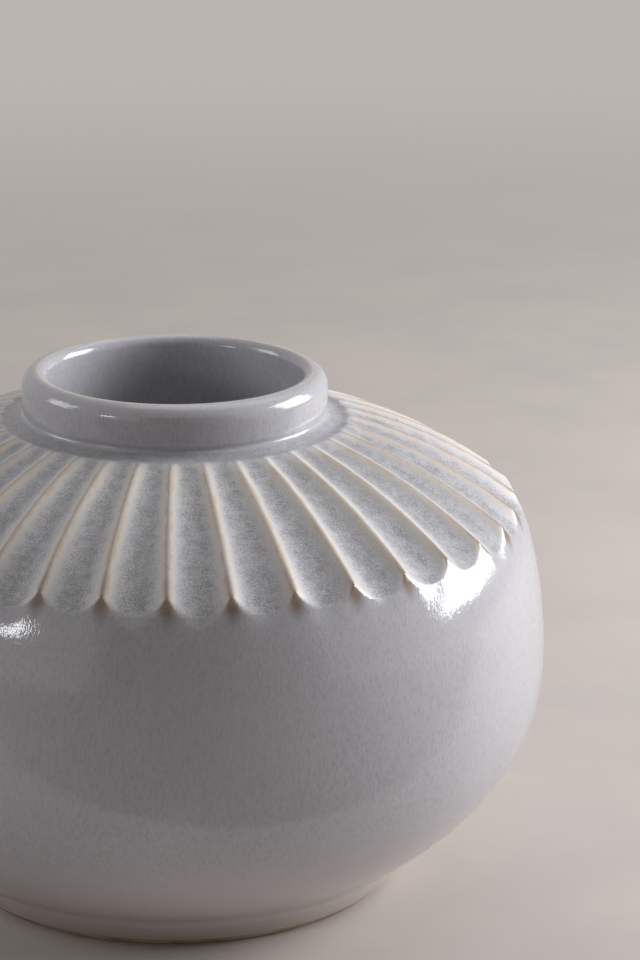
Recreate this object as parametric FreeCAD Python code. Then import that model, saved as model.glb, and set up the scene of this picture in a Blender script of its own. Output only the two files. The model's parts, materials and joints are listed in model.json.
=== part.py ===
"""Squat glazed stoneware vase with a fan of carved flutes round its shoulder.

The vase stands on its foot ring at z = 0, its axis is Z, and lengths are in millimetres.
The clay comes in four thrown pieces: a foot ring, a lower bowl, a carved shoulder dome and a
neck collar.  Each is keyed into the next and bedded in slip.  One coat of glaze lines the
inside and another covers the outside, down to a line just above the foot.

Outlines are drawn in the XZ half-plane, as radius and height, and turned about Z.  An inset
is a depth below the glazed outside surface.
"""
import FreeCAD
import Part
import math
import os

# Overall form, on the glazed surface.
vase_height = 140.0
belly_radius = 100.0
belly_height = 63.0
collar_height = 13.6            # lip down to the groove round the collar
notch_setback = 8.7             # each ridge ends at a notch, this far inside the belly's radius
notch_drop = 20.4               # groove down to the notches
ridge_setback = 6.1             # collar out to the inner ends of the ridges
body_slope = 60.0               # degrees from level, of the belly just under the notches
fan_arch = 10.3                 # degrees by which a ridge's ends turn off its chord

# Pull of each curve's tangents, which sets how full the form is.
bowl_crease_pull = 29.0
bowl_belly_pull = 22.0
dome_belly_pull = 17.0
dome_notch_pull = 10.0
fan_pull = 16.5
ceiling_pull = 18.0

# Clay and glaze.
wall_thickness = 6.2
shoulder_thickness = 8.4        # thicker than the wall, because the flutes are carved out of it
glaze_thickness = 0.6
ridge_glaze_thickness = 0.3     # the glaze runs thin over the ridges

# Fan of flutes.
flute_count = 36
flute_depth_share = 0.27        # depth as a share of a flute's half width
flute_flat_share = 0.6          # reach of the flat bottom as a share of a flute's half width
ridge_width = 1.0               # land left between two flutes
nose_rise = 1.0                 # ridge above the groove where it begins
nose_run = 1.4                  # and how far that slope runs in towards the collar
cutter_run_out = 9.0            # how far the gouge carries on past the notches
cutter_run_in = 3.0             # and past the ridges' inner ends, over the groove
cutter_height = 12.0
station_shares = (0, 1 / 3, 2 / 3, 1)

# Foot ring.
crease_radius = 64.2            # where bowl and foot meet
crease_height = 8.0
crease_slope = 33.5             # degrees from level, of the bowl where it leaves the foot
foot_taper = 4.6                # how much the foot draws in towards the ground
foot_width = 12.0
foot_chamfer = 1.2
glaze_line = 1.8                # bare clay below this height
foot_key_width = 4.0
foot_key_height = 2.0
foot_top_drop = 0.6             # top of the clay foot below the crease

# Neck collar and mouth.
collar_radius = 40.7
collar_undercut = 1.1           # the collar draws in under its lower edge
collar_waist_height = 1.8       # above the groove
collar_edge_height = 3.8        # where the full radius begins, above the groove
collar_edge_pull = 1.1
lip_thickness = 6.7
lip_round = 2.6                 # lip's inner rounding, from its crest into the mouth
throat_round = 3.0
throat_drop = 8.3               # ceiling of the dome below the clay of the groove
seat_depth = 2.8                # the collar's seat below the clay of the groove

# Slip joints.
joint_thickness = 0.8
belly_key_width = 2.0
belly_key_height = 3.5

AXIS = FreeCAD.Vector(0, 0, 1)
ORIGIN = FreeCAD.Vector(0, 0, 0)
FULL_TURN = 360.0

groove_height = vase_height - collar_height
notch_radius = belly_radius - notch_setback
notch_height = groove_height - notch_drop
nose_radius = collar_radius + ridge_setback
groove_outer_radius = nose_radius - nose_run
collar_waist_radius = collar_radius - collar_undercut
mouth_radius = collar_radius - lip_thickness
lip_crest_radius = mouth_radius + lip_round
fan_chord = math.degrees(math.atan2(notch_drop + nose_rise, notch_radius - nose_radius))
fan_outer_slope = fan_chord + fan_arch
fan_inner_slope = fan_chord - fan_arch


def at(radius, height):
    return FreeCAD.Vector(radius, 0, height)


def towards(angle):
    """Unit step outwards and upwards at an angle from level, in degrees."""
    return at(math.cos(math.radians(angle)), math.sin(math.radians(angle)))


def straight(start, end):
    return Part.LineSegment(start, end).toShape()


def chain(*points):
    return [straight(a, b) for a, b in zip(points, points[1:])]


def curve(start, start_pull, end, end_pull):
    """Smooth curve that leaves start along start_pull and reaches end from end_pull."""
    bent = Part.BezierCurve()
    bent.setPoles([start, start + start_pull, end + end_pull, end])
    return bent.toShape()


def quarter(centre, start, end):
    """Quarter round from start to end."""
    radius = (start - centre).Length
    middle = centre + (start + end - centre * 2).normalize() * radius
    return Part.Arc(start, middle, end).toShape()


def turned(edges):
    """Solid of revolution with this outline."""
    wire = Part.Wire(Part.__sortEdges__(edges))
    return Part.Face(wire).revolve(ORIGIN, AXIS, FULL_TURN)


def last_point(edges):
    return edges[-1].valueAt(edges[-1].LastParameter)


# Outside of the vase, at a given inset.

def crease_point(inset):
    return at(crease_radius, crease_height) + towards(crease_slope + 90) * inset


def bowl_wall(inset):
    """From the foot's crease up to the belly joint."""
    end = at(belly_radius - inset, belly_height - joint_thickness / 2)
    return curve(crease_point(inset), towards(crease_slope) * bowl_crease_pull,
                 end, at(0, -bowl_belly_pull))


def notch_point(inset, fan_inset):
    """The corner between belly and fan, each at its own inset."""
    belly_normal = towards(90 - body_slope)
    fan_normal = towards(90 - fan_outer_slope)
    lean = belly_normal.dot(fan_normal)
    along_belly = (inset - fan_inset * lean) / (1 - lean ** 2)
    along_fan = (fan_inset - inset * lean) / (1 - lean ** 2)
    return at(notch_radius, notch_height) - belly_normal * along_belly - fan_normal * along_fan


def dome_wall(inset, fan_inset):
    """From the belly joint up to the notches."""
    start = at(belly_radius - inset, belly_height + joint_thickness / 2)
    return curve(start, at(0, dome_belly_pull),
                 notch_point(inset, fan_inset), towards(-body_slope) * dome_notch_pull)


def nose_point(inset):
    return at(nose_radius, groove_height + nose_rise) - towards(90 - fan_inner_slope) * inset


def ridge_line(inset, fan_inset):
    """Along the top of a ridge, from its notch to its inner end."""
    return curve(notch_point(inset, fan_inset), towards(180 - fan_outer_slope) * fan_pull,
                 nose_point(fan_inset), towards(-fan_inner_slope) * fan_pull)


def groove_and_waist(inset, fan_inset):
    """From a ridge's inner end, across the groove and up to the collar's full radius."""
    floor = groove_height - inset
    fillet = collar_waist_height
    waist = collar_waist_radius - inset
    foot = at(waist + fillet, floor)
    rise = at(waist, floor + fillet)
    edge = at(collar_radius - inset, groove_height + collar_edge_height)
    return [
        straight(nose_point(fan_inset), at(groove_outer_radius, floor)),
        straight(at(groove_outer_radius, floor), foot),
        quarter(at(waist + fillet, floor + fillet), foot, rise),
        curve(rise, at(0, collar_edge_pull), edge, at(0, -collar_edge_pull)),
    ]


def collar_and_lip(inset):
    """From the collar's full radius up to the crest of its lip."""
    outer = collar_radius - inset
    crest = vase_height - inset
    springing = crest - (outer - lip_crest_radius)
    return [
        straight(at(outer, groove_height + collar_edge_height), at(outer, springing)),
        quarter(at(lip_crest_radius, springing), at(outer, springing), at(lip_crest_radius, crest)),
    ]


def lip_and_bore(coat):
    """From the lip's crest over into the mouth and down to the throat.  Coat 0 is bare clay."""
    inset = glaze_thickness - coat
    crest = vase_height - inset
    bore = mouth_radius + inset
    springing = crest - (lip_crest_radius - bore)
    throat = ceiling_height(coat) + throat_round
    return [
        quarter(at(lip_crest_radius, springing), at(lip_crest_radius, crest), at(bore, springing)),
        straight(at(bore, springing), at(bore, throat)),
    ]


def ceiling_height(coat):
    return groove_height - glaze_thickness - throat_drop - coat


def throat_and_ceiling(coat):
    """From the bore round under the shoulder to the corner behind the notches."""
    bore = mouth_radius + glaze_thickness - coat
    throat = at(bore, ceiling_height(coat) + throat_round)
    rim = at(bore + throat_round, ceiling_height(coat))
    corner = notch_point(*inside_insets(coat))
    return [
        quarter(at(bore + throat_round, ceiling_height(coat) + throat_round), throat, rim),
        curve(rim, at(ceiling_pull, 0), corner, towards(180 - fan_outer_slope) * ceiling_pull),
    ]


def inside_insets(coat):
    """Insets of the vase's inside face, behind the belly and behind the fan."""
    return glaze_thickness + wall_thickness + coat, glaze_thickness + shoulder_thickness + coat


# Flutes of the fan.

def flute_section(station, along, deeper):
    """Outline of one flute square to the ridge line: steep sides, a flat bottom, and open above.

    A curve whose pulls reach four thirds of the depth bottoms out at the depth.
    """
    up = FreeCAD.Vector(along.z, 0, -along.x)
    half = station.x * math.tan(math.pi / flute_count) - ridge_width / 2
    side = FreeCAD.Vector(0, half, 0)
    left, right = station - side, station + side
    sink = up * (half * flute_depth_share + deeper) * 4 / 3
    pull = side * (1 - flute_flat_share)
    rise = up * cutter_height
    return Part.Wire([curve(left, pull - sink, right, -pull - sink)]
                     + chain(right, right + rise, left + rise, left))


def flutes(inset, fan_inset):
    """One cutter for each flute, for a surface at these insets."""
    line = ridge_line(inset, fan_inset)
    length = line.LastParameter - line.FirstParameter
    parameters = [line.FirstParameter + length * share for share in station_shares]
    stations = [(line.valueAt(parameter), line.tangentAt(parameter)) for parameter in parameters]
    notch, notch_along = stations[0]
    nose, nose_along = stations[-1]
    stations = ([(notch - notch_along * cutter_run_out, notch_along)] + stations
                + [(nose + nose_along * cutter_run_in, nose_along)])
    cutter = Part.makeLoft([flute_section(*station, inset - fan_inset) for station in stations],
                           True, False)
    copies = []
    for number in range(flute_count):
        copy = cutter.copy()
        copy.rotate(ORIGIN, AXIS, FULL_TURN * number / flute_count)
        copies.append(copy)
    return copies


# Clay pieces.

foot_top = crease_height - foot_top_drop
foot_outer = crease_radius - glaze_thickness
foot_inner = foot_outer - foot_width
foot_key_inner = (foot_outer + foot_inner - foot_key_width) / 2
foot_key_outer = foot_key_inner + foot_key_width
belly_middle = belly_radius - glaze_thickness - wall_thickness / 2
belly_key_inner = belly_middle - belly_key_width / 2
belly_key_outer = belly_middle + belly_key_width / 2
belly_outer = belly_radius - glaze_thickness
belly_inner = belly_outer - wall_thickness
bowl_rim = belly_height - joint_thickness / 2
dome_rim = belly_height + joint_thickness / 2
seat_height = groove_height - glaze_thickness - seat_depth
clay_bore = mouth_radius + glaze_thickness
clay_waist = collar_waist_radius - glaze_thickness
seat_radius = clay_waist + joint_thickness


def foot_side(inset, height):
    """Radius of the foot's outside at a height."""
    return crease_radius - inset - foot_taper * (1 - height / crease_height)


def foot_ring():
    """Ring that carries the vase, with a key round its top."""
    shoulder = foot_top - joint_thickness
    key_top = foot_top + foot_key_height
    return turned(chain(
        at(foot_inner + foot_chamfer, 0),
        at(foot_side(glaze_thickness, 0) - foot_chamfer, 0),
        at(foot_side(glaze_thickness, foot_chamfer), foot_chamfer),
        at(foot_side(glaze_thickness, shoulder), shoulder),
        at(foot_key_outer, shoulder), at(foot_key_outer, key_top),
        at(foot_key_inner, key_top), at(foot_key_inner, shoulder),
        at(foot_inner, shoulder), at(foot_inner, foot_chamfer),
        at(foot_inner + foot_chamfer, 0)))


def foot_slip():
    """Slip between the foot ring and the bowl, round the key."""
    shoulder = foot_top - joint_thickness
    key_top = foot_top + foot_key_height
    inner, outer = foot_key_inner - joint_thickness, foot_key_outer + joint_thickness
    return turned(chain(
        at(foot_inner, shoulder), at(foot_key_inner, shoulder), at(foot_key_inner, key_top),
        at(foot_key_outer, key_top), at(foot_key_outer, shoulder),
        at(foot_side(glaze_thickness, shoulder), shoulder),
        at(foot_side(glaze_thickness, foot_top), foot_top),
        at(outer, foot_top), at(outer, key_top + joint_thickness),
        at(inner, key_top + joint_thickness), at(inner, foot_top),
        at(foot_inner, foot_top), at(foot_inner, shoulder)))


def lower_bowl():
    """Thrown bowl with a flat floor, a groove under it for the foot and one round its rim."""
    key_top = foot_top + foot_key_height + joint_thickness
    inner, outer = foot_key_inner - joint_thickness, foot_key_outer + joint_thickness
    key_floor = bowl_rim - belly_key_height
    groove_in, groove_out = belly_key_inner - joint_thickness, belly_key_outer + joint_thickness
    wall_inset, _ = inside_insets(0)
    floor = crease_point(wall_inset)
    return turned(
        chain(at(0, foot_top), at(inner, foot_top), at(inner, key_top), at(outer, key_top),
              at(outer, foot_top), at(foot_side(glaze_thickness, foot_top), foot_top),
              crease_point(glaze_thickness))
        + [bowl_wall(glaze_thickness)]
        + chain(at(belly_outer, bowl_rim), at(groove_out, bowl_rim), at(groove_out, key_floor),
                at(groove_in, key_floor), at(groove_in, bowl_rim), at(belly_inner, bowl_rim))
        + [bowl_wall(wall_inset)]
        + chain(floor, at(0, floor.z), at(0, foot_top)))


def belly_slip():
    """Slip between bowl and dome, round the key."""
    key_floor = bowl_rim - belly_key_height
    groove_in, groove_out = belly_key_inner - joint_thickness, belly_key_outer + joint_thickness
    key_end = key_floor + joint_thickness
    return turned(chain(
        at(belly_outer, bowl_rim), at(groove_out, bowl_rim), at(groove_out, key_floor),
        at(groove_in, key_floor), at(groove_in, bowl_rim), at(belly_inner, bowl_rim),
        at(belly_inner, dome_rim), at(belly_key_inner, dome_rim), at(belly_key_inner, key_end),
        at(belly_key_outer, key_end), at(belly_key_outer, dome_rim), at(belly_outer, dome_rim),
        at(belly_outer, bowl_rim)))


def shoulder_dome():
    """Upper half of the body, with its key, its seat for the collar and its carved fan."""
    key_end = bowl_rim - belly_key_height + joint_thickness
    top = groove_and_waist(glaze_thickness, ridge_glaze_thickness)[:1]
    groove_floor = groove_height - glaze_thickness
    blank = turned(
        [dome_wall(glaze_thickness, ridge_glaze_thickness),
         ridge_line(glaze_thickness, ridge_glaze_thickness)] + top
        + chain(last_point(top), at(seat_radius, groove_floor), at(seat_radius, seat_height),
                at(clay_bore, seat_height), at(clay_bore, ceiling_height(0) + throat_round))
        + throat_and_ceiling(0)
        + [dome_wall(*inside_insets(0))]
        + chain(at(belly_inner, dome_rim), at(belly_key_inner, dome_rim),
                at(belly_key_inner, key_end), at(belly_key_outer, key_end),
                at(belly_key_outer, dome_rim), at(belly_outer, dome_rim)))
    return blank.cut(flutes(glaze_thickness, ridge_glaze_thickness))


def collar_slip():
    """Slip under the collar and round the foot of its wall."""
    top = groove_height - glaze_thickness
    bed = seat_height + joint_thickness
    return turned(chain(
        at(clay_bore, seat_height), at(seat_radius, seat_height), at(seat_radius, top),
        at(clay_waist, top), at(clay_waist, bed), at(clay_bore, bed), at(clay_bore, seat_height)))


def neck_collar():
    """Collar with a rounded lip."""
    bed = seat_height + joint_thickness
    groove_floor = groove_height - glaze_thickness
    waist = at(clay_waist, groove_floor)
    edge = at(collar_radius - glaze_thickness, groove_height + collar_edge_height)
    rise = at(clay_waist, groove_floor + collar_waist_height)
    bore = lip_and_bore(0)[:1]
    return turned(
        chain(at(clay_bore, bed), at(clay_waist, bed), waist, rise)
        + [curve(rise, at(0, collar_edge_pull), edge, at(0, -collar_edge_pull))]
        + collar_and_lip(glaze_thickness) + bore
        + chain(last_point(bore), at(clay_bore, bed)))


# Glaze coats.

def lining_glaze():
    """Coat over the inside, from the crest of the lip down to the floor."""
    def inside(coat):
        wall_inset, _ = inside_insets(coat)
        floor = crease_point(wall_inset)
        return (lip_and_bore(coat) + throat_and_ceiling(coat)
                + [dome_wall(*inside_insets(coat))]
                + chain(at(belly_radius - wall_inset, dome_rim), at(belly_radius - wall_inset, bowl_rim))
                + [bowl_wall(wall_inset)] + chain(floor, at(0, floor.z)))

    clay_floor = crease_point(inside_insets(0)[0]).z
    glaze_floor = crease_point(inside_insets(glaze_thickness)[0]).z
    return turned(inside(0) + inside(glaze_thickness)
                  + chain(at(0, clay_floor), at(0, glaze_floor))
                  + chain(at(lip_crest_radius, vase_height - glaze_thickness),
                          at(lip_crest_radius, vase_height)))


def filled_outside(inset, fan_inset, bottom, plug):
    """The fluted vase as if it were solid, from a bottom height up to a plug in its mouth."""
    joint = chain(at(belly_radius - inset, bowl_rim), at(belly_radius - inset, dome_rim))
    blank = turned(
        chain(at(0, bottom), at(foot_side(inset, bottom), bottom),
              at(foot_side(inset, foot_top), foot_top), crease_point(inset))
        + [bowl_wall(inset)] + joint
        + [dome_wall(inset, fan_inset), ridge_line(inset, fan_inset)]
        + groove_and_waist(inset, fan_inset) + collar_and_lip(inset)
        + chain(at(lip_crest_radius, vase_height - inset), at(lip_crest_radius, plug),
                at(0, plug), at(0, bottom)))
    return blank.cut(flutes(inset, fan_inset))


def outer_glaze():
    """Coat over the outside, from the crest of the lip down to the glaze line on the foot."""
    plug = groove_height
    coated = filled_outside(0, 0, glaze_line, plug)
    clay = filled_outside(glaze_thickness, ridge_glaze_thickness, 0, plug + glaze_thickness)
    return coated.cut(clay)


def save(name, shape):
    solids = shape.Solids
    body = solids[0] if len(solids) == 1 else Part.makeCompound(solids)
    print(f"{name}: {len(solids)} solid, valid {body.isValid()}, {body.Volume / 1000:.1f} cm3, "
          f"{len(body.Faces)} faces")
    body.exportStep(f"parts/{name}.step")


os.makedirs("parts", exist_ok=True)
save("foot_ring", foot_ring())
save("foot_slip", foot_slip())
save("lower_bowl", lower_bowl())
save("belly_slip", belly_slip())
save("shoulder_dome", shoulder_dome())
save("collar_slip", collar_slip())
save("neck_collar", neck_collar())
save("lining_glaze", lining_glaze())
save("outer_glaze", outer_glaze())
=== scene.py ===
"""Squat stoneware vase with a fan of flutes round its shoulder, dressed in a crackle glaze.

The vase stands on z = 0 and is turned about Z.  Outlines are drawn in the XZ half-plane, as radius
and height in metres, and spun.  They follow the solid model's outlines, so each coat of glaze lies
where its node lies.  An inset is a depth below the glazed outside surface.
"""

import json
import math
import random

import bmesh
import bpy
from mathutils import Matrix, Vector


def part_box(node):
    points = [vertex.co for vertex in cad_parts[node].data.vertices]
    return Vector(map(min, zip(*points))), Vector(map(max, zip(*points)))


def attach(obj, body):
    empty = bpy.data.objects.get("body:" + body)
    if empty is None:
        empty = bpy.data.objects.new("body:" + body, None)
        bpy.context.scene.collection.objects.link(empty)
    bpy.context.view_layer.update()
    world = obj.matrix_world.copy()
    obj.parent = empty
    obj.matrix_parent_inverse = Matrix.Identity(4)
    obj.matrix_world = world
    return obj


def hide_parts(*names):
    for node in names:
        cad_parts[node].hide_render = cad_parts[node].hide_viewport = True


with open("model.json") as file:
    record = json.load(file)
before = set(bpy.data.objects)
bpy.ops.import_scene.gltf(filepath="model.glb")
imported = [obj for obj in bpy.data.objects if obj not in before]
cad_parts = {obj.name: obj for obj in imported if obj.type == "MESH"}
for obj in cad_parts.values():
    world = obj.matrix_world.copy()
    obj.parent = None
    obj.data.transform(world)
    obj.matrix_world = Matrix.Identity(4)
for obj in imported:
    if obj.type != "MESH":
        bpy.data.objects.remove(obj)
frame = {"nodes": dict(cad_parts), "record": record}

bl_info = {
    "name": "Fan Vase",
    "version": (1, 0, 0),
    "blender": (4, 5, 0),
    "location": "3D View > Sidebar > Fan Vase",
    "description": "Glazed coats, turned foot and studio for a squat fluted vase",
    "category": "Add Mesh",
}

MM = 0.001
FULL_TURN = 2 * math.pi
SAME_PLACE = 0.01 * MM
WELD = 0.001 * MM

COAT_LOW, COAT_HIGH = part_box("outer_glaze")
COLLAR_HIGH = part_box("neck_collar")[1]
FOOT_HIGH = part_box("foot_ring")[1]
FOOT_SLIP_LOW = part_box("foot_slip")[0]
BELLY_SLIP_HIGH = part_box("belly_slip")[1]
MOUTH = next(mount for mount in frame["record"]["mounts"] if mount["name"] == "neck_bore")
COLLAR_COAT = 0.6 * MM
BELLY_FLAT = 0.8 * MM

# Shares of a curve where the dome's mesh gets finer, and where the rounding of a ridge's inner end begins
DOME_TIP = 0.86
FAN_END = 0.985
ROUND_COLUMNS = 288


# Sizes and colours

def length(name, default, description):
    return bpy.props.FloatProperty(name=name, description=description, default=default,
                                   min=0.0, precision=4, unit="LENGTH")


def slope(name, degrees, description):
    return bpy.props.FloatProperty(name=name, description=description,
                                   default=math.radians(degrees), unit="ROTATION")


def share(name, default, description):
    return bpy.props.FloatProperty(name=name, description=description, default=default,
                                   min=0.0, max=1.0, subtype="FACTOR")


def power(name, default, description):
    return bpy.props.FloatProperty(name=name, description=description, default=default,
                                   min=0.0, unit="POWER")


def count(name, default, description):
    return bpy.props.IntProperty(name=name, description=description, default=default, min=3)


def colour(name, default, description):
    return bpy.props.FloatVectorProperty(name=name, description=description, default=default,
                                         size=4, min=0.0, max=1.0, subtype="COLOR")


class VaseForm(bpy.types.PropertyGroup):
    """Outline of the vase, on the glazed surface."""
    glaze: length("Glaze", COAT_HIGH.z - COLLAR_HIGH.z, "Thickness of the glaze")
    ridge_glaze: length("Ridge glaze", 0.3 * MM, "Thickness of the glaze over the ridges")
    height: length("Height", COAT_HIGH.z, "Ground to the lip")
    belly_radius: length("Belly radius", COAT_HIGH.x, "Largest radius")
    belly_height: length("Belly height", BELLY_SLIP_HIGH.z - BELLY_FLAT / 2, "Height of the largest radius")
    belly_flat: length("Belly flat", BELLY_FLAT, "Upright stretch over the belly joint")
    crease_radius: length("Crease radius", 64.2 * MM, "Radius where bowl and foot meet")
    crease_height: length("Crease height", 8.0 * MM, "Height where bowl and foot meet")
    crease_slope: slope("Crease slope", 33.5, "Slope of the bowl where it leaves the foot")
    foot_taper: length("Foot taper", 4.6 * MM, "How much the foot draws in towards the ground")
    body_slope: slope("Body slope", 60.0, "Slope of the belly under the notches")
    notch_setback: length("Notch setback", 8.7 * MM, "Notches inside the belly's radius")
    notch_drop: length("Notch drop", 20.4 * MM, "Groove down to the notches")
    collar_height: length("Collar height", 13.6 * MM, "Lip down to the groove round the collar")
    collar_radius: length("Collar radius", COLLAR_HIGH.x + COLLAR_COAT, "Radius of the collar")
    collar_undercut: length("Collar undercut", 1.1 * MM, "How far the collar draws in under its edge")
    waist_height: length("Waist height", 1.8 * MM, "Rounding between groove and collar")
    edge_height: length("Edge height", 3.8 * MM, "Groove up to the collar's full radius")
    mouth_radius: length("Mouth radius", MOUTH["dims"]["r_mm"] * MM, "Radius of the mouth")
    lip_round: length("Lip round", 2.6 * MM, "Inner rounding of the lip")
    wall: length("Wall", 6.2 * MM, "Thickness of the clay wall")
    shoulder: length("Shoulder", 8.4 * MM, "Thickness of the clay behind the fan")
    throat_round: length("Throat round", 3.0 * MM, "Rounding under the mouth")
    throat_drop: length("Throat drop", 8.3 * MM, "Groove down to the ceiling")


class VaseFan(bpy.types.PropertyGroup):
    """Flutes of the fan."""
    flutes: count("Flutes", 36, "Number of flutes")
    depth: share("Depth", 0.325, "Depth of a flute as a share of its half width")
    hollow: bpy.props.FloatProperty(name="Hollow", description="Steepness of a flute's sides; 2 is an arc",
                                    default=2.0, min=1.5, max=4.0)
    nose_depth: share("Inner depth", 0.5, "Depth of a flute at its inner end as a share of its full depth")
    nose_fade: length("Inner fade", 7 * MM, "How far out a flute reaches its full depth")
    ridge: length("Ridge", 0.3 * MM, "Land between two flutes")
    fill: length("Fill", 0.18 * MM, "Glaze that fills a flute's sides beside the ridge")
    edge: length("Edge", 0.6 * MM, "How far glaze softens the edges of a flute")
    crowd: share("Crowd", 0.5, "How far mesh columns crowd to the ridges")
    arch: slope("Arch", 10.3, "How far a ridge's ends turn off its chord")
    nose_setback: length("Nose setback", 6.1 * MM, "Collar out to the inner ends of the ridges")
    nose_rise: length("Nose rise", 1.0 * MM, "Ridge above the groove where it begins")
    nose_run: length("Nose run", 1.4 * MM, "Length of the slope at its inner end")
    pool_depth: length("Pool depth", 0.55 * MM, "Depth of the glaze pooled round the collar")
    thin_band: length("Thin band", 2.1 * MM, "Width beside a ridge where the glaze runs thin")
    milky_band: share("Milky band", 0.62, "Share of a flute, from each ridge, where the glaze turns milky")
    seed: bpy.props.IntProperty(name="Seed", description="Unevenness of the carving", default=7)
    columns: count("Columns", 16, "Mesh columns across one flute")


class VaseFoot(bpy.types.PropertyGroup):
    """Bare ring that the vase stands on."""
    width: length("Width", 12.0 * MM, "Width of the foot ring")
    bevel: length("Bevel", 1.2 * MM, "Rounding of its edges")
    key: length("Key", 4.0 * MM, "Width of the key that stands into the bowl")
    marks: count("Marks", 9, "Turning marks on the sole")
    seed: bpy.props.IntProperty(name="Seed", description="Places of the turning marks", default=3)


class VaseColours(bpy.types.PropertyGroup):
    """Colours of glaze, clay and room."""
    glaze: colour("Glaze", (0.52, 0.515, 0.56, 1), "Glaze where it lies thick")
    deep: colour("Deep glaze", (0.23, 0.245, 0.24, 1), "Mottling of the thick glaze")
    milky: colour("Milky glaze", (0.62, 0.61, 0.65, 1), "Glaze beside the ridges")
    cream: colour("Thin glaze", (0.70, 0.64, 0.57, 1), "Glaze where it runs thin")
    # Painted reflection: this warmer, paler glaze is put on the lower belly in place of light that the lit
    # floor sends back up onto it.
    warm: colour("Low glaze", (0.63, 0.58, 0.575, 1), "Glaze towards the foot, where clay warms it")
    tan: colour("Crest", (0.50, 0.36, 0.25, 1), "Glaze at its thinnest, along a crest")
    # Brown is clay showing through thin glaze along the crests, and painted shade under the ridges' outer
    # ends and on the foot.
    brown: colour("Bare edge", (0.23, 0.165, 0.125, 1), "Clay that shows through under the notches")
    clay: colour("Clay", (0.60, 0.50, 0.38, 1), "Bare fired clay")
    clay_dark: colour("Toasted clay", (0.36, 0.25, 0.16, 1), "Bare clay where the kiln toasted it")
    floor: colour("Floor", (0.60, 0.55, 0.51, 1), "Pale floor")
    background: colour("Background", (0.49, 0.46, 0.44, 1), "Background that the floor fades into")
    room: colour("Room", (1.0, 0.935, 0.87, 1), "Even light that the room sends back")
    cloth: colour("Cloth", (0.05, 0.05, 0.055, 1), "Dark cloth of the flag")
    cloth_worn: colour("Worn cloth", (0.10, 0.09, 0.085, 1), "Paler patches of the cloth")


# Outline of the vase

def at(radius, height):
    return Vector((radius, 0, height))


def towards(angle):
    """Unit step outwards and upwards at an angle from level."""
    return at(math.cos(angle), math.sin(angle))


def curve(start, start_pull, end, end_pull, steps, first=0.0, last=1.0):
    """Points on the smooth curve that leaves start along start_pull and reaches end from end_pull."""
    poles = start, start + start_pull, end + end_pull, end
    points = []
    for step in range(steps + 1):
        t = first + (last - first) * step / steps
        weights = (1 - t) ** 3, 3 * t * (1 - t) ** 2, 3 * t ** 2 * (1 - t), t ** 3
        points.append(sum((pole * weight for pole, weight in zip(poles, weights)), Vector()))
    return points


def arc(centre, radius, start, end, steps):
    """Points round a centre from one angle to another."""
    return [centre + towards(start + (end - start) * step / steps) * radius for step in range(steps + 1)]


def line(start, end, steps):
    return [start.lerp(end, step / steps) for step in range(steps + 1)]


def joined(*stretches):
    """One outline from stretches that meet, without their doubled points."""
    points = [stretches[0][0]]
    for stretch in stretches:
        points += [point for point in stretch if (point - points[-1]).length > SAME_PLACE]
    return points


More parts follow.
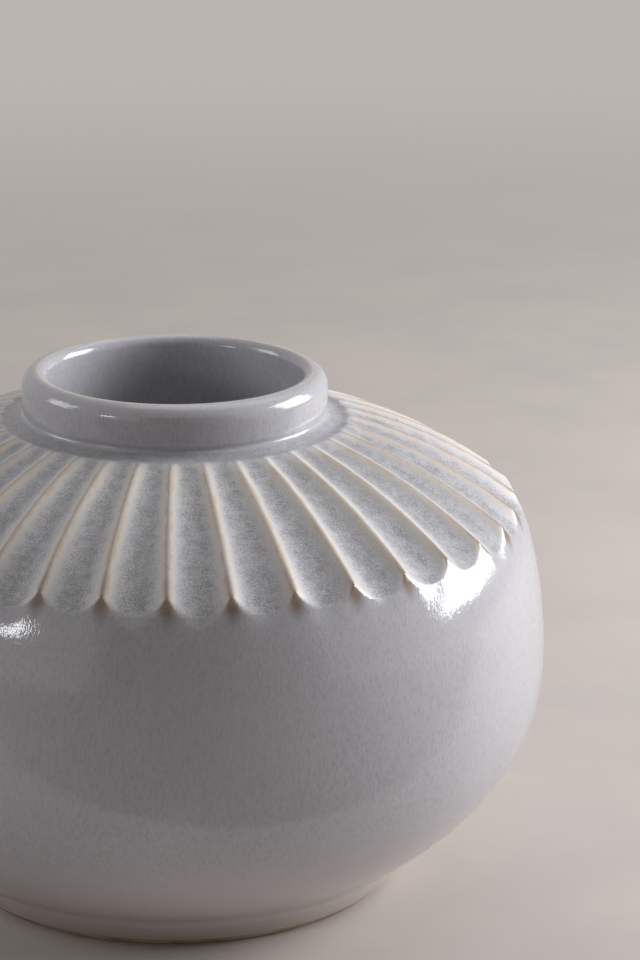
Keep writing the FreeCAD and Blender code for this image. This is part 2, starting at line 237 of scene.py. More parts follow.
class Outline:
    """The vase's outline in stretches, at the insets asked for.

    A pull is how far a curve keeps to its slope at one of its ends, in millimetres.
    """
    BOWL_PULLS = 29, 22
    DOME_PULLS = 17, 10
    FAN_PULL = 16.5
    CEILING_PULL = 18
    POOL_SETBACK = 1.1 * MM
    TUCK = 0.55 * MM
    TUCK_HEIGHT = 2.5 * MM
    EDGE_TOP = 0.1 * MM

    def __init__(self, form, fan):
        self.form, self.fan = form, fan
        self.groove = form.height - form.collar_height
        self.upright = self.groove + form.edge_height + self.EDGE_TOP
        self.notch = at(form.belly_radius - form.notch_setback, self.groove - form.notch_drop)
        self.nose = at(form.collar_radius + fan.nose_setback, self.groove + fan.nose_rise)
        chord = math.atan2(self.nose.z - self.notch.z, self.notch.x - self.nose.x)
        self.outer_slope, self.inner_slope = chord + fan.arch, chord - fan.arch
        self.crest_radius = form.mouth_radius + form.lip_round
        self.fan_pull = self.FAN_PULL * MM

    def foot_side(self, inset, height):
        form = self.form
        return at(form.crease_radius - inset - form.foot_taper * (1 - height / form.crease_height), height)

    def foot_coat(self, lowest, steps):
        """Up the foot's glazed side, from the rounded lower end of the coat."""
        form = self.form
        bead = 0.9 * form.glaze
        rounding = [self.foot_side(depth * form.glaze, lowest + rise * bead)
                    for depth, rise in ((0.5, 0.0), (0.12, 0.3))]
        side = line(self.foot_side(0, lowest + bead), self.foot_side(0, form.crease_height), steps)
        return joined(rounding, side)

    def crease(self, inset):
        form = self.form
        return at(form.crease_radius, form.crease_height) + towards(form.crease_slope + math.pi / 2) * inset

    def bowl(self, inset, steps):
        form = self.form
        end = at(form.belly_radius - inset, form.belly_height - form.belly_flat / 2)
        low_pull, high_pull = self.BOWL_PULLS
        return curve(self.crease(inset), towards(form.crease_slope) * low_pull * MM,
                     end, at(0, -high_pull * MM), steps)

    def notch_at(self, inset, fan_inset):
        """The corner between belly and fan, each at its own inset."""
        belly = towards(math.pi / 2 - self.form.body_slope)
        fan = towards(math.pi / 2 - self.outer_slope)
        lean = belly.dot(fan)
        along_belly = (inset - fan_inset * lean) / (1 - lean ** 2)
        along_fan = (fan_inset - inset * lean) / (1 - lean ** 2)
        return self.notch - belly * along_belly - fan * along_fan

    def dome(self, inset, fan_inset, steps, first=0.0, last=1.0):
        form = self.form
        start = at(form.belly_radius - inset, form.belly_height + form.belly_flat / 2)
        low_pull, high_pull = self.DOME_PULLS
        return curve(start, at(0, low_pull * MM), self.notch_at(inset, fan_inset),
                     towards(-form.body_slope) * high_pull * MM, steps, first, last)

    def nose_at(self, inset):
        return self.nose - towards(math.pi / 2 - self.inner_slope) * inset

    def ridge(self, inset, fan_inset, steps, last=1.0):
        return curve(self.notch_at(inset, fan_inset), towards(math.pi - self.outer_slope) * self.fan_pull,
                     self.nose_at(fan_inset), towards(-self.inner_slope) * self.fan_pull, steps, last=last)

    def pooled_ring(self, steps):
        """Over the rounded ends of the ridges, and over the glaze pooled between them and the collar."""
        form, fan = self.form, self.fan
        fan_end = self.ridge(0, 0, 2, last=FAN_END)[-1]
        pool = at(self.nose.x - fan.nose_run - self.POOL_SETBACK, self.groove + fan.pool_depth)
        tuck = at(form.collar_radius - self.TUCK, self.groove + self.TUCK_HEIGHT)
        collar = at(form.collar_radius, self.upright)
        off_ridge, onto_pool = towards(math.pi - self.inner_slope) * 1.2 * MM, at(1.4 * MM, 0)
        off_pool, into_tuck = at(-2.3 * MM, 0.2 * MM), at(0, -0.8 * MM)
        off_tuck, onto_collar = at(0, 0.4 * MM), at(0, -0.6 * MM)
        return joined(curve(fan_end, off_ridge, pool, onto_pool, steps),
                      curve(pool, off_pool, tuck, into_tuck, steps - 2),
                      curve(tuck, off_tuck, collar, onto_collar, 4))

    def groove_and_waist(self, inset, fan_inset, steps):
        """From the ridges' inner ends to the collar, on the clay."""
        form = self.form
        floor = self.groove - inset
        waist = form.collar_radius - form.collar_undercut - inset
        outer = at(self.nose.x - self.fan.nose_run, self.groove - inset)
        centre = at(waist + form.waist_height, floor + form.waist_height)
        rise = at(waist, floor + form.waist_height)
        edge = at(form.collar_radius - inset, self.groove + form.edge_height)
        pull = at(0, form.collar_undercut)
        return joined(line(self.nose_at(fan_inset), outer, steps // 2),
                      line(outer, at(centre.x, floor), steps),
                      arc(centre, form.waist_height, -math.pi / 2, -math.pi, steps),
                      curve(rise, pull, edge, -pull, steps))

    def collar_and_lip(self, inset, steps):
        form = self.form
        outer = form.collar_radius - inset
        radius = outer - self.crest_radius
        centre = at(self.crest_radius, form.height - inset - radius)
        return joined(line(at(outer, self.upright), at(outer, centre.z), steps // 2),
                      arc(centre, radius, 0, math.pi / 2, steps))

    def lip_and_bore(self, coat, steps):
        """From the lip's crest into the mouth and down to the throat.  Coat 0 is bare clay."""
        form = self.form
        inset = form.glaze - coat
        bore = form.mouth_radius + inset
        radius = self.crest_radius - bore
        centre = at(self.crest_radius, form.height - inset - radius)
        throat = at(bore, self.ceiling(coat) + form.throat_round)
        return joined(arc(centre, radius, math.pi / 2, math.pi, steps),
                      line(at(bore, centre.z), throat, steps))

    def ceiling(self, coat):
        return self.groove - self.form.glaze - self.form.throat_drop - coat

    def hollow(self, coat, steps):
        """From the throat under the shoulder, down the wall and across the floor to the axis."""
        form = self.form
        wall, shoulder = form.glaze + form.wall + coat, form.glaze + form.shoulder + coat
        centre = at(form.mouth_radius + form.glaze - coat + form.throat_round,
                    self.ceiling(coat) + form.throat_round)
        rim = at(centre.x, self.ceiling(coat))
        corner, pull = self.notch_at(wall, shoulder), self.CEILING_PULL
        floor = self.crease(wall)
        return joined(arc(centre, form.throat_round, math.pi, 1.5 * math.pi, steps // 3),
                      curve(rim, at(pull * MM, 0), corner,
                            towards(math.pi - self.outer_slope) * pull * MM, steps),
                      self.dome(wall, shoulder, steps)[::-1], self.bowl(wall, steps)[::-1],
                      line(floor, at(0, floor.z), steps))

    def station(self, point, inset, fan_inset):
        """Where a gouge on its way along a ridge passes over an outline point.

        Gives the radius of the ridge there, how far the point lies under the ridge line and the
        line's slope.  Past a ridge's two ends the gouge goes straight on.  It stops short of the
        collar, and from there on all three are 0.
        """
        notch, nose = self.notch_at(inset, fan_inset), self.nose_at(fan_inset)
        if point.x < self.nose.x - self.fan.nose_run:
            return 0.0, 0.0, 0.0
        if point.z < notch.z:
            origin, angle = notch, self.outer_slope
        elif point.x < nose.x:
            origin, angle = nose, self.inner_slope
        else:
            way = (notch.x - point.x) / (notch.x - nose.x)
            origin, angle = point, self.outer_slope + (self.inner_slope - self.outer_slope) * way
        along, up = towards(-angle), towards(math.pi / 2 - angle)
        offset = point - origin
        return origin.x + offset.dot(along) * along.x, -offset.dot(up), angle


# Turning and carving

# How the glaze lies over lip, ridges and foot, with shade painted into the ring round the collar, under the
# notches and on the foot: widths of its bands, and strengths from 0 to 1
LIP_THIN = 0.55
LIP_WIDTH = 1.1 * MM
RING_POOL_AND_SHADE = 0.8
RING_START = 0.2 * MM
POOLED_DEPTH = 0.8 * MM
CUT_WIDTH = 0.24 * MM
RIM_WIDTH = 0.35 * MM
RIM_DEPTH = 0.3 * MM
RIM_THIN = 0.25
RIM_THIN_NEAR = 0.6
NEAR_WIDTH = 3.5 * MM
NOSE_FADE = 5 * MM
CREST_WIDTH = 1.15 * MM
CREST_BARE = 0.5
CREST_BARE_WIDTH = 1.3 * MM
CREST_BARE_RUN = 9 * MM
NOTCH_MARGIN = 1 * MM
NOTCH_THIN = 0.6
NOTCH_THIN_WIDTH = 2.2 * MM
NOTCH_SHADE_WIDTH = 2.6 * MM
FOOT_THIN_WIDTH = 1.1 * MM
FOOT_SHADE_WIDTH = 0.6 * MM
FOOT_SHADE = 0.45
FOOT_SHADE_FADE = 0.03 / MM

# How far the flutes stray, as shares of a flute's width, its depth and its reach
RIDGE_STRAY, DEPTH_STRAY, REACH_STRAY = 0.005, 0.03, 0.08

# Turning marks on the sole: the shallowest and the deepest, and their width
MARK_DEPTHS = 0.10 * MM, 0.25 * MM
MARK_WIDTH = 0.5 * MM

GOUGE_LAYERS = "station", "below", "slope", "inner"
GLAZE_LAYERS = "thin", "milky", "crest", "bare", "pool"
OUTER_FACE, INNER_FACE = 0.0, 1.0


def bell(distance, width):
    """1 at no distance, fading smoothly to about a third at a width."""
    return math.exp(-(distance / width) ** 2)


def soft_max(value, edge):
    """The larger of value and 0, with the corner between them rounded."""
    overlap = max(edge - abs(value), 0) / edge
    return max(value, 0) + overlap ** 2 * edge / 4


def spun(outline, columns, closed, sectors=12):
    """A bmesh turned about Z from an outline, with a float layer for each named value of its points.

    One sector is spun in columns, and then repeated round the axis.
    """
    bm = bmesh.new()
    names = outline[0][1].keys()
    layers = {name: bm.verts.layers.float.new(name) for name in names}
    verts = []
    for point, values in outline:
        vert = bm.verts.new(point)
        for name in names:
            vert[layers[name]] = values[name]
        verts.append(vert)
    pairs = list(zip(verts, verts[1:]))
    if closed:
        pairs.append((verts[-1], verts[0]))
    edges = [bm.edges.new(pair) for pair in pairs]
    sector = FULL_TURN / sectors
    bmesh.ops.spin(bm, geom=verts + edges, cent=(0, 0, 0), axis=(0, 0, 1), angle=sector,
                   steps=columns // sectors, use_merge=False, use_duplicate=False)
    everything = bm.verts[:] + bm.edges[:] + bm.faces[:]
    bmesh.ops.spin(bm, geom=everything, cent=(0, 0, 0), axis=(0, 0, 1), angle=FULL_TURN - sector,
                   steps=sectors - 1, use_merge=False, use_duplicate=True)
    bmesh.ops.remove_doubles(bm, verts=bm.verts, dist=WELD)
    bmesh.ops.recalc_face_normals(bm, faces=bm.faces)
    return bm


def finished(name, bm, sharp=math.radians(50)):
    """An object from a bmesh, smooth but for its sharp edges."""
    for face in bm.faces:
        face.smooth = True
    for edge in bm.edges:
        edge.smooth = edge.calc_face_angle(0) < sharp
    mesh = bpy.data.meshes.new(name)
    bm.to_mesh(mesh)
    bm.free()
    piece = bpy.data.objects.new(name, mesh)
    bpy.context.scene.collection.objects.link(piece)
    return piece


class Carving:
    """The flutes as one hand cut them, each a little off its neighbours."""

    def __init__(self, fan, outline):
        draw = random.Random(fan.seed)
        self.fan, self.notch, self.nose = fan, outline.notch, outline.nose
        self.collar = outline.form.collar_radius + RING_START
        self.pitch = FULL_TURN / fan.flutes
        self.ridges = [(number - 0.5) * self.pitch + draw.uniform(-1, 1) * RIDGE_STRAY * self.pitch
                       for number in range(fan.flutes)]
        self.ridges.append(self.ridges[0] + FULL_TURN)
        self.depths = [1 + draw.uniform(-1, 1) * DEPTH_STRAY for number in range(fan.flutes)]
        self.reaches = [1 + draw.uniform(-1, 1) * REACH_STRAY for number in range(fan.flutes)]

    def column(self, angle):
        """Number of the flute at an angle, where its mesh column moves to, and its angle off the middle."""
        turns = (angle / self.pitch + 0.5) % self.fan.flutes
        number = min(int(turns), self.fan.flutes - 1)
        way = turns - number
        way -= self.fan.crowd * math.sin(FULL_TURN * way) / FULL_TURN
        left, right = self.ridges[number], self.ridges[number + 1]
        return number, left + way * (right - left), (way - 0.5) * self.pitch

    def half_width(self, station):
        """Half the way between two ridges, where their radius is the station."""
        return station * math.tan(math.pi / self.fan.flutes)

    def flute(self, number, radius, angle, station):
        """Depth of a flute off its middle, and how far that place is from the ridge."""
        fan = self.fan
        offset = abs(radius * math.sin(angle))
        full = self.half_width(station)
        half = full - fan.ridge / 2
        way = min(max((radius - self.nose.x) / fan.nose_fade, 0), 1)
        fade = fan.nose_depth + (1 - fan.nose_depth) * way * (2 - way)
        depth = half * fan.depth * self.depths[number] * fade
        return depth * (1 - (offset / half) ** fan.hollow) - fan.fill, max(full - offset, 0)


def worn_lip(outline, radius, height):
    """How thin the glaze runs over the lip, from 0 to 1."""
    away = math.hypot(radius - outline.crest_radius, height - outline.form.height)
    return LIP_THIN * bell(away, LIP_WIDTH)


def tagged(points, face, outline, insets):
    """Outline points, each with where the gouge passes over it and which face of the coat it is on."""
    return [(point, dict(zip(GOUGE_LAYERS, (*outline.station(point, *insets), face)))) for point in points]


class VASE_OT_outer_glaze(bpy.types.Operator):
    """Coat the outside: foot, belly, carved fan, collar and the outer half of the lip"""
    bl_idname = "vase.outer_glaze"
    bl_label = "Outer Glaze"
    bl_options = {"REGISTER", "UNDO"}

    def execute(self, context):
        form, fan = context.scene.vase_form, context.scene.vase_fan
        outline = Outline(form, fan)
        carving = Carving(fan, outline)
        lowest = COAT_LOW.z
        outside = joined(
            outline.foot_coat(lowest, 4), outline.bowl(0, 16),
            outline.dome(0, 0, 8, last=DOME_TIP), outline.dome(0, 0, 20, first=DOME_TIP),
            outline.ridge(0, 0, 38, last=FAN_END), outline.pooled_ring(9), outline.collar_and_lip(0, 8))
        inset, thin = form.glaze, form.ridge_glaze
        inside = joined(
            line(outline.foot_side(inset, lowest), outline.foot_side(inset, form.crease_height * 0.9), 1),
            outline.bowl(inset, 8),
            outline.dome(inset, thin, 4, last=DOME_TIP), outline.dome(inset, thin, 5, first=DOME_TIP),
            outline.ridge(inset, thin, 12), outline.groove_and_waist(inset, thin, 2),
            outline.collar_and_lip(inset, 4))
        rows = (tagged(outside, OUTER_FACE, outline, (0, 0))
                + tagged(inside[::-1], INNER_FACE, outline, (inset, thin)))
        bm = spun(rows, fan.flutes * fan.columns, closed=True)
        self.carve(bm, carving, outline, inset - thin, lowest)
        piece = finished("glazed_outside", bm)
        piece.data.materials.append(crackle_glaze(context.scene.vase_colours))
        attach(piece, "root")
        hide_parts("outer_glaze")
        return {"FINISHED"}

    def carve(self, bm, carving, outline, deeper, lowest):
        """Sink the flutes into both faces of the coat, and note how the glaze lies all over it, with shade
        painted in round the collar, under the notches and on the foot.
        """
        layers = bm.verts.layers.float
        station, below, angle, inner = (layers[name] for name in GOUGE_LAYERS)
        thin, milky, crest, bare, pool = (layers.new(name) for name in GLAZE_LAYERS)
        fan, end = outline.fan, carving.notch.x - NOTCH_MARGIN
        for vert in bm.verts:
            radius = math.hypot(vert.co.x, vert.co.y)
            number, turned, off = carving.column(math.atan2(vert.co.y, vert.co.x))
            vert.co.x, vert.co.y = radius * math.cos(turned), radius * math.sin(turned)
            if vert[station] == 0:
                # The ring round the collar gets pooled glaze, darkened further as painted shade under the
                # collar.
                in_ring = vert[inner] == OUTER_FACE and carving.collar < radius < carving.nose.x
                vert[pool] = RING_POOL_AND_SHADE if in_ring else 0.0
                vert[thin] = worn_lip(outline, radius, vert.co.z)
                continue
            under = vert[below] * carving.reaches[number]
            depth, beside = carving.flute(number, radius, off, vert[station])
            depth += vert[inner] * deeper
            taken = soft_max(depth - under, fan.edge)
            middle = (carving.ridges[number] + carving.ridges[number + 1]) / 2
            vert.co -= Matrix.Rotation(middle, 3, "Z") @ towards(math.pi / 2 - vert[angle]) * taken

            # From 0 to 1: inside a flute, along its rim, beside a ridge, off the inner and at the outer end
            cut = 0.5 + 0.5 * math.tanh((depth - under) / CUT_WIDTH)
            rim = bell(depth - under, RIM_WIDTH) if under > RIM_DEPTH else 0.0
            near = bell(beside, NEAR_WIDTH)
            off_nose = min(max((radius - carving.nose.x) / NOSE_FADE, 0), 1)
            at_end = 1.0 if radius < end else bell(max(under, 0), NOTCH_THIN_WIDTH)

            flank = bell(beside, fan.thin_band) * cut
            rim_thin = rim * (RIM_THIN + RIM_THIN_NEAR * near) * off_nose
            vert[thin] = max(flank, rim_thin) * max(at_end, NOTCH_THIN * cut)
            vert[milky] = bell(beside / carving.half_width(vert[station]), fan.milky_band) * cut
            vert[crest] = bell(beside, CREST_WIDTH) * at_end * off_nose
            # Pooled glaze in the flutes, and near the noses the ring's pooled glaze with its painted shade.
            vert[pool] = max(cut * min(taken / POOLED_DEPTH, 1.0), RING_POOL_AND_SHADE * (1 - off_nose) * (1 - cut))
            # Under each ridge's outer end, a brown spot: partly clay through thin glaze, partly painted
            # shade under the ridge's end.
            if radius > end:
                thin_and_shade = bell(beside, NOTCH_SHADE_WIDTH) * bell(max(under, 0), NOTCH_SHADE_WIDTH)
                vert[bare] = (1 - cut) * thin_and_shade
            else:
                streak = bell(beside, CREST_BARE_WIDTH) * bell(carving.notch.x - radius, CREST_BARE_RUN)
                vert[bare] = CREST_BARE * streak
            # Painted shade on the foot: brown that deepens towards the ground, with a painted contact shadow
            # along its lower edge over the thin glaze.
            if vert.co.z < outline.form.crease_height:
                rise = vert.co.z - lowest
                vert[thin] = bell(rise, FOOT_THIN_WIDTH)
                vert[bare] = max(bell(rise, FOOT_SHADE_WIDTH), FOOT_SHADE - FOOT_SHADE_FADE * rise)
        for name in GOUGE_LAYERS:
            layers.remove(layers[name])


class VASE_OT_lining(bpy.types.Operator):
    """Coat the inside: the inner half of the lip, the throat, the hollow and its floor"""
    bl_idname = "vase.lining"
    bl_label = "Lining Glaze"
    bl_options = {"REGISTER", "UNDO"}

    def execute(self, context):
        form, fan = context.scene.vase_form, context.scene.vase_fan
        outline = Outline(form, fan)
        visible = joined(outline.lip_and_bore(form.glaze, 8), outline.hollow(form.glaze, 24))
        backing = joined(outline.lip_and_bore(0, 4), outline.hollow(0, 12))
        rows = [(point, {"thin": worn_lip(outline, point.x, point.z)}) for point in visible[::-1] + backing]
        bm = spun(rows, ROUND_COLUMNS, closed=False)
        piece = finished("glazed_inside", bm)
        piece.data.materials.append(crackle_glaze(context.scene.vase_colours))
        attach(piece, "root")
        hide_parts("lining_glaze")
        return {"FINISHED"}


class VASE_OT_foot(bpy.types.Operator):
    """Turn the bare foot ring, and give the clay and the slips inside the wall their finish"""
    bl_idname = "vase.foot"
    bl_label = "Foot Ring"
    bl_options = {"REGISTER", "UNDO"}

    def execute(self, context):
        form, foot, colours = context.scene.vase_form, context.scene.vase_foot, context.scene.vase_colours
        outline = Outline(form, context.scene.vase_fan)
        top, key_top = FOOT_SLIP_LOW.z, FOOT_HIGH.z
        outer = form.crease_radius - form.glaze
        inner = outer - foot.width
        key_inner = (outer + inner - foot.key) / 2
        key_outer = key_inner + foot.key
        bevel = foot.bevel
        sole_in, sole_out = inner + bevel, outline.foot_side(form.glaze, 0).x - bevel
        side = line(outline.foot_side(form.glaze, bevel), outline.foot_side(form.glaze, top), 6)
        key = [at(key_outer, top), at(key_outer, key_top), at(key_inner, key_top), at(key_inner, top)]
        bore = line(at(inner, top), at(inner, bevel), 12)
        points = joined(arc(at(sole_out, bevel), bevel, -math.pi / 2, 0, 5), side, key,
                        bore, arc(at(sole_in, bevel), bevel, -math.pi, -math.pi / 2, 5),
                        line(at(sole_in, 0), at(sole_out, 0), 16)[:-1])
        bm = spun([(point, {}) for point in points], ROUND_COLUMNS, closed=True)
        draw = random.Random(foot.seed)
        marks = [(draw.uniform(sole_in, sole_out), draw.uniform(*MARK_DEPTHS)) for mark in range(foot.marks)]
        for vert in bm.verts:
            radius = math.hypot(vert.co.x, vert.co.y)
            if vert.co.z < SAME_PLACE:
                vert.co.z += sum(depth * bell(radius - place, MARK_WIDTH) for place, depth in marks)
        piece = finished("turned_foot", bm)
        piece.data.materials.append(bare_clay(colours))
        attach(piece, "root")
        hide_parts("foot_ring")
        for nodes, material in ((("lower_bowl", "shoulder_dome", "neck_collar"), bare_clay(colours)),
                                (("foot_slip", "belly_slip", "collar_slip"), joining_slip(colours))):
            for node in nodes:
                mesh = frame["nodes"][node].data
                mesh.materials.clear()
                mesh.materials.append(material)
        return {"FINISHED"}


# Materials

def add(tree, kind, inputs=None, **options):
    """A shader node, with its options set and its inputs set or linked."""
    made = tree.nodes.new(kind)
    for name, value in options.items():
        setattr(made, name, value)
    for name, value in (inputs or {}).items():
        if isinstance(value, bpy.types.NodeSocket):
            tree.links.new(value, made.inputs[name])
        else:
            made.inputs[name].default_value = value
    return made


def mixed(tree, factor, first, second):
    """Colour between first and second."""
    node = add(tree, "ShaderNodeMix", data_type="RGBA")
    for socket, value in (("Factor_Float", factor), ("A_Color", first), ("B_Color", second)):
        target = next(item for item in node.inputs if item.identifier == socket)
        if isinstance(value, bpy.types.NodeSocket):
            tree.links.new(value, target)
        else:
            target.default_value = value
    return next(item for item in node.outputs if item.identifier == "Result_Color")


def blended(tree, factor, first, second):
    """Shader between the shaders of two nodes."""
    sockets = {0: factor, 1: first.outputs[0], 2: second.outputs[0]}
    return add(tree, "ShaderNodeMixShader", sockets).outputs[0]


def math_node(tree, operation, first, second):
    return add(tree, "ShaderNodeMath", {0: first, 1: second}, operation=operation).outputs[0]


def ramp(tree, value, low, high, to_low=0.0, to_high=1.0):
    node = add(tree, "ShaderNodeMapRange", {"Value": value, "From Min": low, "From Max": high,
                                            "To Min": to_low, "To Max": to_high},
               interpolation_type="SMOOTHSTEP")
    return node.outputs["Result"]


def noise(tree, coordinates, scale, detail=2.0, rough=0.5):
    return add(tree, "ShaderNodeTexNoise", {"Vector": coordinates, "Scale": scale, "Detail": detail,
                                            "Roughness": rough}).outputs["Fac"]


def new_material(name):
    material = bpy.data.materials.new(name)
    material.use_nodes = True
    tree = material.node_tree
    shader = tree.nodes["Principled BSDF"]
    coordinates = add(tree, "ShaderNodeTexCoord").outputs["Object"]
    return material, tree, shader, coordinates


def shared(build):
    """Build a material when it is first asked for, and then give the same one to all that ask."""
    name = build.__name__.replace("_", " ")

    def material(colours):
        return bpy.data.materials.get(name) or build(name, colours)

    return material


@shared
def crackle_glaze(name, colours):
    """Glossy glaze with fine upright crazing, mottled where it pools and pale where it runs thin, with shade
    painted into the ring round the collar, under the notches and on the foot, and a painted reflection of
    the floor low on the belly.
    """
    material, tree, shader, coordinates = new_material(name)
    thin, milky, crest, bare, pool = (
        add(tree, "ShaderNodeAttribute", attribute_name=layer).outputs["Fac"] for layer in GLAZE_LAYERS)
    drawn = add(tree, "ShaderNodeMapping", {"Vector": coordinates, "Scale": (1.0, 1.0, 0.42)}).outputs[0]
    streaks = noise(tree, drawn, 1300.0, 3.0, 0.6)
    grains = noise(tree, coordinates, 2500.0, 3.0, 0.7)
    patches = noise(tree, coordinates, 330.0, 3.0, 0.6)
    cloud = noise(tree, coordinates, 22.0, 3.0)
    belly = mixed(tree, ramp(tree, streaks, 0.42, 0.68, 0.0, 0.24), colours.glaze, colours.deep)
    belly = mixed(tree, ramp(tree, cloud, 0.35, 0.75, 0.0, 0.25), belly, colours.milky)
    speckle = math_node(tree, "ADD", math_node(tree, "MULTIPLY", grains, 0.7),
                        math_node(tree, "MULTIPLY", patches, 0.3))
    mottled = mixed(tree, ramp(tree, speckle, 0.40, 0.60, 0.80, 0.0), colours.glaze, colours.deep)
    rise = add(tree, "ShaderNodeSeparateXYZ", {0: coordinates}).outputs["Z"]
    # Painted reflection: the belly turns warmer and paler towards the foot, as light from the lit floor
    # would make it.
    belly = mixed(tree, ramp(tree, rise, 0.008, 0.046, 0.9, 0.0), belly, colours.warm)
    surface = mixed(tree, pool, belly, mottled)
    worn = math_node(tree, "ADD", milky, ramp(tree, speckle, 0.35, 0.65, -0.22, 0.22))
    surface = mixed(tree, ramp(tree, worn, 0.10, 0.85, 0.0, 0.9), surface, colours.milky)
    edge = math_node(tree, "ADD", thin, ramp(tree, patches, 0.3, 0.7, -0.10, 0.10))
    surface = mixed(tree, ramp(tree, edge, 0.12, 0.80), surface, colours.cream)
    tanned = math_node(tree, "ADD", crest, ramp(tree, patches, 0.35, 0.65, -0.45, 0.1))
    surface = mixed(tree, ramp(tree, tanned, 0.15, 0.9, 0.0, 0.55), surface, colours.tan)
    # Brown where clay shows through along the crests, and painted shade under the notches and on the foot.
    surface = mixed(tree, ramp(tree, bare, 0.05, 0.8, 0.0, 0.85), surface, colours.brown)
    tree.links.new(surface, shader.inputs["Base Color"])
    cells = add(tree, "ShaderNodeTexVoronoi", {"Vector": drawn, "Scale": 1100.0},
                feature="DISTANCE_TO_EDGE").outputs["Distance"]
    satin = math_node(tree, "MAXIMUM", math_node(tree, "MAXIMUM", thin, milky), pool)
    gloss = math_node(tree, "ADD", ramp(tree, streaks, 0.3, 0.8, 0.06, 0.13),
                      ramp(tree, satin, 0.0, 0.8, 0.0, 0.30))
    tree.links.new(gloss, shader.inputs["Roughness"])
    relief = math_node(tree, "ADD", ramp(tree, cells, 0.0, 0.30, 0.0, 0.5), streaks)
    swell = noise(tree, coordinates, 120.0, 1.0)
    fine = add(tree, "ShaderNodeBump", {"Height": relief, "Distance": 0.00007, "Strength": 0.25})
    broad = add(tree, "ShaderNodeBump", {"Height": swell, "Distance": 0.0003, "Strength": 0.15,
                                         "Normal": fine.outputs[0]})
    tree.links.new(broad.outputs[0], shader.inputs["Normal"])
    shader.inputs["IOR"].default_value = 1.58
    return material


@shared
def bare_clay(name, colours):
    """Fired clay with fine grit, toasted in patches."""
    material, tree, shader, coordinates = new_material(name)
    grit = noise(tree, coordinates, 900.0, 4.0, 0.7)
    cloud = noise(tree, coordinates, 60.0, 3.0)
    surface = mixed(tree, ramp(tree, cloud, 0.3, 0.7), colours.clay, colours.clay_dark)
    surface = mixed(tree, ramp(tree, grit, 0.58, 0.75), surface, colours.clay_dark)
    tree.links.new(surface, shader.inputs["Base Color"])
    shader.inputs["Roughness"].default_value = 0.85
    relief = add(tree, "ShaderNodeBump", {"Height": grit, "Distance": 0.0002, "Strength": 0.5})
    tree.links.new(relief.outputs[0], shader.inputs["Normal"])
    return material


@shared
def joining_slip(name, colours):
    """Fine slip, smoother and paler than the clay that it joins."""
    material, tree, shader, coordinates = new_material(name)
    cloud = noise(tree, coordinates, 300.0, 3.0)
    surface = mixed(tree, ramp(tree, cloud, 0.3, 0.7, 0.0, 0.4), colours.cream, colours.clay)
    tree.links.new(surface, shader.inputs["Base Color"])
    shader.inputs["Roughness"].default_value = 0.75
    return material


def seen_ray(tree):
    """1 for rays from the camera and for those that a glossy or clear surface sends on."""
    path = add(tree, "ShaderNodeLightPath")
    seen = math_node(tree, "MAXIMUM", path.outputs["Is Camera Ray"], path.outputs["Is Glossy Ray"])
    return math_node(tree, "MAXIMUM", seen, path.outputs["Is Transmission Ray"])


def floor_material(colours):
    """Pale plaster that fades into the background away from the vase."""
    material, tree, shader, coordinates = new_material("pale plaster")
    cloud = noise(tree, coordinates, 14.0, 5.0, 0.6)
    pale = mixed(tree, ramp(tree, cloud, 0.3, 0.7, 0.0, 0.5), colours.floor, colours.background)
    tree.links.new(pale, shader.inputs["Base Color"])
    shader.inputs["Roughness"].default_value = 0.9
    away = add(tree, "ShaderNodeVectorMath", {0: coordinates}, operation="LENGTH").outputs["Value"]
    fade = math_node(tree, "MULTIPLY", ramp(tree, away, 0.3, 1.3), seen_ray(tree))
    glow = add(tree, "ShaderNodeEmission", {"Color": colours.background, "Strength": 1.0})
    tree.links.new(blended(tree, fade, shader, glow), tree.nodes["Material Output"].inputs["Surface"])
    return material


# Studio

DAYLIGHT = 0.98, 0.985, 1.0
SKYLIGHT = 0.93, 0.96, 1.0
PANEL_LIGHT = 0.97, 0.98, 1.0


class VaseStudio(bpy.types.PropertyGroup):
    """Camera, matched to the photograph's viewing angle, and light."""
    distance: length("Distance", 859.5 * MM, "Camera from the vase's axis")
    height: length("Height", 365.6 * MM, "Camera above the floor")
    turn: slope("Turn", -3.62, "Camera about the vase")
    yaw: slope("Yaw", 2.590, "Camera turned to the right of the axis")
    pitch: slope("Pitch", 16.616, "Camera turned down")
    roll: slope("Roll", 0.556, "Camera rolled")
    lens: bpy.props.FloatProperty(name="Lens", description="Focal length on a 36 mm upright frame",
                                  default=125.22, unit="CAMERA")
    window: power("Window", 15.8, "Large window to the right")
    overhead: power("Overhead", 3.4, "Soft light above and behind")
    far_window: power("Far window", 0.8, "Small window to the left")
    panel: power("Left panel", 3.0, "Soft panel to the left")
    room: bpy.props.FloatProperty(name="Room", description="Strength of the room's light",
                                  default=0.14, min=0.0)


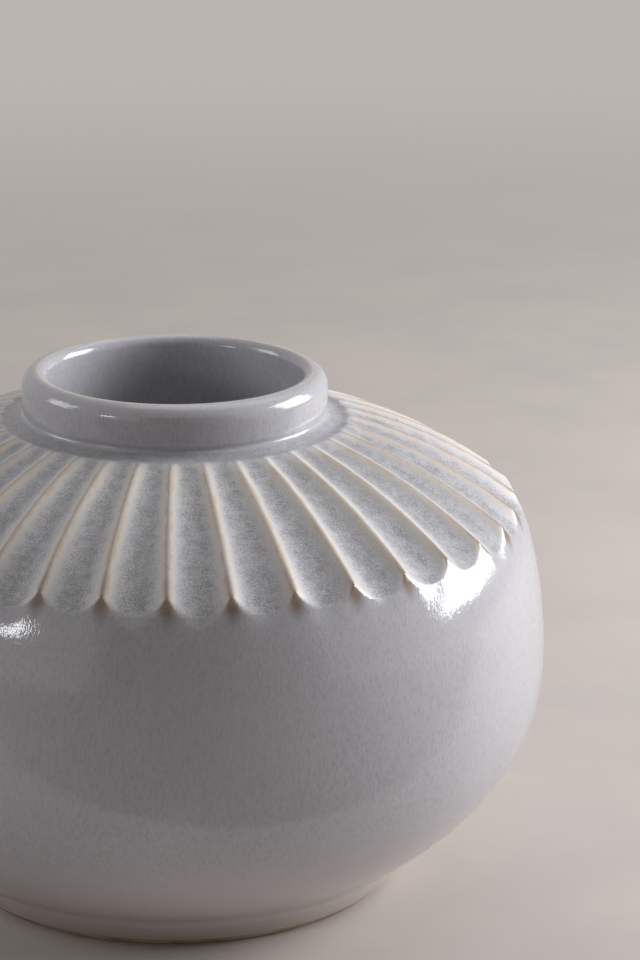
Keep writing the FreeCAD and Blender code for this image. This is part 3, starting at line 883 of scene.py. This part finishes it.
class VASE_OT_stage(bpy.types.Operator):
    """Lay the floor, hang the flag, and set the camera and the lights"""
    bl_idname = "vase.stage"
    bl_label = "Studio"
    bl_options = {"REGISTER", "UNDO"}

    def execute(self, context):
        studio, colours = context.scene.vase_studio, context.scene.vase_colours
        self.lay_floor(colours)
        self.camera(context.scene, studio)
        self.hang_flag(colours)
        self.light("window", bearing=98, rise=19, reach=1.1, size=(0.62, 0.66),
                   power=studio.window, tint=DAYLIGHT)
        self.light("overhead", bearing=150, rise=68, reach=1.3, size=(1.0, 1.0),
                   power=studio.overhead, tint=DAYLIGHT)
        self.light("far window", bearing=-54, rise=14, reach=1.2, size=(0.20, 0.10),
                   power=studio.far_window, tint=SKYLIGHT)
        self.light("left panel", bearing=-100, rise=22, reach=1.2, size=(0.50, 0.50),
                   power=studio.panel, tint=PANEL_LIGHT)
        context.scene.world = self.room(colours, studio)
        context.scene.view_settings.view_transform = "Standard"
        return {"FINISHED"}

    def room(self, colours, studio):
        """Dim even light, and a pale background where the camera or a reflection looks past the floor."""
        world = bpy.data.worlds.new("room")
        world.use_nodes = True
        tree = world.node_tree
        dim = tree.nodes["Background"]
        dim.inputs["Color"].default_value = colours.room
        dim.inputs["Strength"].default_value = studio.room
        pale = add(tree, "ShaderNodeBackground", {"Color": colours.background, "Strength": 1.0})
        either = blended(tree, seen_ray(tree), dim, pale)
        tree.links.new(either, tree.nodes["World Output"].inputs["Surface"])
        return world

    def lay_floor(self, colours):
        """Round pale floor that reaches far behind the vase."""
        bm = bmesh.new()
        bmesh.ops.create_circle(bm, cap_ends=True, segments=96, radius=6.0)
        floor = finished("floor", bm)
        floor.data.materials.append(floor_material(colours))

    def hang_flag(self, colours):
        """Dark cloth before the vase, out of the camera's sight, which keeps glare off the belly: it shows
        only in reflections, as a painted dark reflection over the belly.

        It lies just off the floor, and bends up at its far end.
        """
        gap, lift, left, width = 0.14, 1 * MM, -1.6, 2.4
        reach, bend, top = 1.6, 0.3, 1.2
        turn = Matrix.Rotation(math.radians(16), 3, "Z")
        side = joined([at(0, 0)], arc(at(reach - bend, bend), bend, -math.pi / 2, 0, 8), [at(reach, top)])
        bm = bmesh.new()
        verts = [bm.verts.new((left, -gap - point.x, point.z + lift)) for point in side]
        edges = [bm.edges.new(pair) for pair in zip(verts, verts[1:])]
        extruded = bmesh.ops.extrude_edge_only(bm, edges=edges)["geom"]
        far = [item for item in extruded if isinstance(item, bmesh.types.BMVert)]
        bmesh.ops.translate(bm, verts=far, vec=(width, 0, 0))
        bmesh.ops.rotate(bm, verts=bm.verts, cent=(0, -gap, 0), matrix=turn)
        flag = finished("flag", bm)
        material, tree, shader, coordinates = new_material("dark cloth")
        woven = mixed(tree, noise(tree, coordinates, 3.0), colours.cloth, colours.cloth_worn)
        tree.links.new(woven, shader.inputs["Base Color"])
        shader.inputs["Roughness"].default_value = 1.0
        flag.data.materials.append(material)
        flag.visible_camera = flag.visible_diffuse = flag.visible_shadow = False

    def camera(self, scene, studio):
        data = bpy.data.cameras.new("camera")
        data.sensor_fit = "VERTICAL"
        data.sensor_height = 36.0
        data.lens = studio.lens
        camera = bpy.data.objects.new("camera", data)
        place = Matrix.Translation((0, -studio.distance, studio.height))
        aim = (Matrix.Rotation(-studio.yaw, 4, "Z") @ Matrix.Rotation(math.pi / 2 - studio.pitch, 4, "X")
               @ Matrix.Rotation(studio.roll, 4, "Z"))
        camera.matrix_world = Matrix.Rotation(studio.turn, 4, "Z") @ place @ aim
        scene.collection.objects.link(camera)
        scene.camera = camera

    def light(self, name, bearing, rise, reach, size, power, tint):
        """Rectangular soft light that faces the vase's middle from a distance, its reach.

        Its bearing is in degrees to the right of the front, and its rise in degrees from level.
        """
        bearing, rise = math.radians(bearing), math.radians(rise)
        place = Vector((math.sin(bearing) * math.cos(rise), -math.cos(bearing) * math.cos(rise),
                        math.sin(rise)))
        aim, middle = -place, Vector((0, 0, 0.08))
        data = bpy.data.lights.new(name, "AREA")
        data.shape = "RECTANGLE"
        data.size, data.size_y = size
        data.energy = power
        data.color = tint
        lamp = bpy.data.objects.new(name, data)
        lamp.matrix_world = (Matrix.Translation(place * reach + middle)
                             @ aim.to_track_quat("-Z", "Y").to_matrix().to_4x4())
        bpy.context.scene.collection.objects.link(lamp)


class VASE_PT_panel(bpy.types.Panel):
    """The vase's pieces, sizes and colours"""
    bl_idname = "VASE_PT_panel"
    bl_label = "Fan Vase"
    bl_space_type = "VIEW_3D"
    bl_region_type = "UI"
    bl_category = "Fan Vase"

    def draw(self, context):
        for operator in OPERATORS:
            self.layout.operator(operator.bl_idname)
        for group in GROUPS:
            box = self.layout.box()
            settings = getattr(context.scene, group)
            for name in settings.__annotations__:
                box.prop(settings, name)


OPERATORS = VASE_OT_outer_glaze, VASE_OT_lining, VASE_OT_foot, VASE_OT_stage
GROUPS = {"vase_form": VaseForm, "vase_fan": VaseFan, "vase_foot": VaseFoot, "vase_colours": VaseColours,
          "vase_studio": VaseStudio}


def register():
    for cls in (*GROUPS.values(), *OPERATORS, VASE_PT_panel):
        bpy.utils.register_class(cls)
    for name, group in GROUPS.items():
        setattr(bpy.types.Scene, name, bpy.props.PointerProperty(type=group))


def unregister():
    for name in GROUPS:
        delattr(bpy.types.Scene, name)
    for cls in (VASE_PT_panel, *reversed(OPERATORS), *reversed(GROUPS.values())):
        bpy.utils.unregister_class(cls)


def main():
    register()
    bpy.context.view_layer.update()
    bpy.ops.vase.outer_glaze()
    bpy.ops.vase.lining()
    bpy.ops.vase.foot()
    bpy.ops.vase.stage()


if __name__ == "__main__":
    main()
